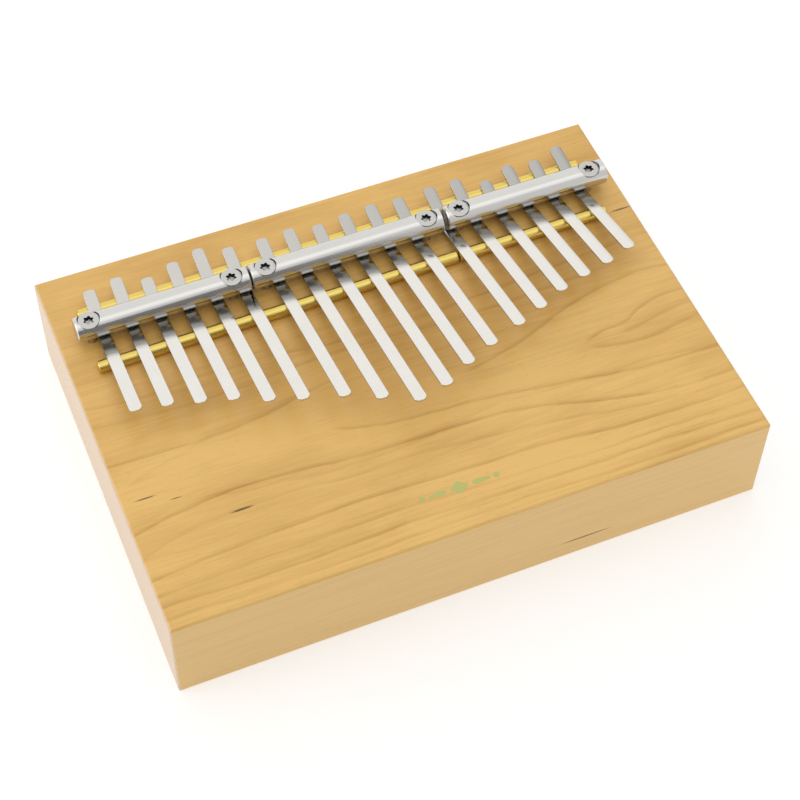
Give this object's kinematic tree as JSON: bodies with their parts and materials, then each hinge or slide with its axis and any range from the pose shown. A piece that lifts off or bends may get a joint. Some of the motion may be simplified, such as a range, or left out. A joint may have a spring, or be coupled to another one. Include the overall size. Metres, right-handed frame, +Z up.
{
  "type": "board mbira",
  "caption": "Thumb piano: flat spring-steel tines held by round clamp bars over brass bridge rods on a solid wooden block.",
  "frame": {"origin": "centre of the block's flat underside", "axes": "+X along the row of tines, to the player's right; +Y from the player's side to the clamp bars; +Z up, out of the playing face"},
  "size_m": [0.19, 0.135, 0.0494],
  "materials": {
    "wood": "satin oiled",
    "brass": "drawn rod",
    "bar_steel": "satin turned",
    "screw_steel": "satin",
    "tine_steel": "satin rolled spring steel"
  },
  "bodies": {
    "root": {"block": "wood", "front_bridge_left": "brass", "front_bridge_middle": "brass", "front_bridge_right": "brass", "back_bridge_left": "brass", "back_bridge_middle": "brass", "back_bridge_right": "brass", "clamp_bar_left": "bar_steel", "clamp_bar_middle": "bar_steel", "clamp_bar_right": "bar_steel", "clamp_screws": "screw_steel", "tine_01_tail": "tine_steel", "tine_02_tail": "tine_steel", "tine_03_tail": "tine_steel", "tine_04_tail": "tine_steel", "tine_05_tail": "tine_steel", "tine_06_tail": "tine_steel", "tine_07_tail": "tine_steel", "tine_08_tail": "tine_steel", "tine_09_tail": "tine_steel", "tine_10_tail": "tine_steel", "tine_11_tail": "tine_steel", "tine_12_tail": "tine_steel", "tine_13_tail": "tine_steel", "tine_14_tail": "tine_steel", "tine_15_tail": "tine_steel", "tine_16_tail": "tine_steel", "tine_17_tail": "tine_steel", "tine_18_tail": "tine_steel"},
    "tine_01": {"tine_01_tongue": "tine_steel"},
    "tine_02": {"tine_02_tongue": "tine_steel"},
    "tine_03": {"tine_03_tongue": "tine_steel"},
    "tine_04": {"tine_04_tongue": "tine_steel"},
    "tine_05": {"tine_05_tongue": "tine_steel"},
    "tine_06": {"tine_06_tongue": "tine_steel"},
    "tine_07": {"tine_07_tongue": "tine_steel"},
    "tine_08": {"tine_08_tongue": "tine_steel"},
    "tine_09": {"tine_09_tongue": "tine_steel"},
    "tine_10": {"tine_10_tongue": "tine_steel"},
    "tine_11": {"tine_11_tongue": "tine_steel"},
    "tine_12": {"tine_12_tongue": "tine_steel"},
    "tine_13": {"tine_13_tongue": "tine_steel"},
    "tine_14": {"tine_14_tongue": "tine_steel"},
    "tine_15": {"tine_15_tongue": "tine_steel"},
    "tine_16": {"tine_16_tongue": "tine_steel"},
    "tine_17": {"tine_17_tongue": "tine_steel"},
    "tine_18": {"tine_18_tongue": "tine_steel"}
  },
  "joints": [
    {"name": "tine_01_flex", "type": "hinge", "parent": "root", "child": "tine_01", "pos_m": [-0.0809, 0.02345, 0.03971], "axis": [0.9999, -0.0122, 0], "range_deg": [-4, 5], "stiffness_Nm_per_rad": 3.07},
    {"name": "tine_02_flex", "type": "hinge", "parent": "root", "child": "tine_02", "pos_m": [-0.07163, 0.02315, 0.03977], "axis": [1, -0.008, 0], "range_deg": [-4, 5], "stiffness_Nm_per_rad": 2.84},
    {"name": "tine_03_flex", "type": "hinge", "parent": "root", "child": "tine_03", "pos_m": [-0.06236, 0.0227, 0.03985], "axis": [1, -0.0039, 0], "range_deg": [-4, 5], "stiffness_Nm_per_rad": 2.56},
    {"name": "tine_04_flex", "type": "hinge", "parent": "root", "child": "tine_04", "pos_m": [-0.05309, 0.02225, 0.03993], "axis": [1, 0.0003, 0], "range_deg": [-4, 5], "stiffness_Nm_per_rad": 2.33},
    {"name": "tine_05_flex", "type": "hinge", "parent": "root", "child": "tine_05", "pos_m": [-0.04382, 0.0215, 0.04006], "axis": [1, 0.0045, 0], "range_deg": [-4, 5], "stiffness_Nm_per_rad": 2.02},
    {"name": "tine_06_flex", "type": "hinge", "parent": "root", "child": "tine_06", "pos_m": [-0.03454, 0.02098, 0.04015], "axis": [1, 0.0087, 0], "range_deg": [-4, 5], "stiffness_Nm_per_rad": 1.85},
    {"name": "tine_07_flex", "type": "hinge", "parent": "root", "child": "tine_07", "pos_m": [-0.02323, 0.02038, 0.04026], "axis": [0.9999, 0.0138, 0], "range_deg": [-4, 5], "stiffness_Nm_per_rad": 1.69},
    {"name": "tine_08_flex", "type": "hinge", "parent": "root", "child": "tine_08", "pos_m": [-0.01374, 0.01955, 0.0404], "axis": [0.9998, 0.018, 0], "range_deg": [-4, 5], "stiffness_Nm_per_rad": 1.51},
    {"name": "tine_09_flex", "type": "hinge", "parent": "root", "child": "tine_09", "pos_m": [-0.00424, 0.01873, 0.04055], "axis": [0.9998, 0.0223, 0], "range_deg": [-4, 5], "stiffness_Nm_per_rad": 1.36},
    {"name": "tine_10_flex", "type": "hinge", "parent": "root", "child": "tine_10", "pos_m": [0.00524, 0.01911, 0.04048], "axis": [0.9996, 0.0266, 0], "range_deg": [-4, 5], "stiffness_Nm_per_rad": 1.42},
    {"name": "tine_11_flex", "type": "hinge", "parent": "root", "child": "tine_11", "pos_m": [0.01471, 0.01993, 0.04034], "axis": [0.9995, 0.0308, 0], "range_deg": [-4, 5], "stiffness_Nm_per_rad": 1.58},
    {"name": "tine_12_flex", "type": "hinge", "parent": "root", "child": "tine_12", "pos_m": [0.02417, 0.02061, 0.04022], "axis": [0.9994, 0.0351, 0], "range_deg": [-4, 5], "stiffness_Nm_per_rad": 1.75},
    {"name": "tine_13_flex", "type": "hinge", "parent": "root", "child": "tine_13", "pos_m": [0.03544, 0.02129, 0.0401], "axis": [0.9992, 0.0402, 0], "range_deg": [-4, 5], "stiffness_Nm_per_rad": 1.94},
    {"name": "tine_14_flex", "type": "hinge", "parent": "root", "child": "tine_14", "pos_m": [0.04469, 0.02189, 0.03999], "axis": [0.999, 0.0444, 0], "range_deg": [-4, 5], "stiffness_Nm_per_rad": 2.16},
    {"name": "tine_15_flex", "type": "hinge", "parent": "root", "child": "tine_15", "pos_m": [0.05393, 0.02257, 0.03987], "axis": [0.9988, 0.0485, 0], "range_deg": [-4, 5], "stiffness_Nm_per_rad": 2.48},
    {"name": "tine_16_flex", "type": "hinge", "parent": "root", "child": "tine_16", "pos_m": [0.06317, 0.02302, 0.03979], "axis": [0.9986, 0.0527, 0], "range_deg": [-4, 5], "stiffness_Nm_per_rad": 2.74},
    {"name": "tine_17_flex", "type": "hinge", "parent": "root", "child": "tine_17", "pos_m": [0.07242, 0.0234, 0.03973], "axis": [0.9984, 0.0569, 0], "range_deg": [-4, 5], "stiffness_Nm_per_rad": 3.01},
    {"name": "tine_18_flex", "type": "hinge", "parent": "root", "child": "tine_18", "pos_m": [0.08166, 0.02393, 0.03963], "axis": [0.9981, 0.061, 0], "range_deg": [-4, 5], "stiffness_Nm_per_rad": 3.49}
  ]
}
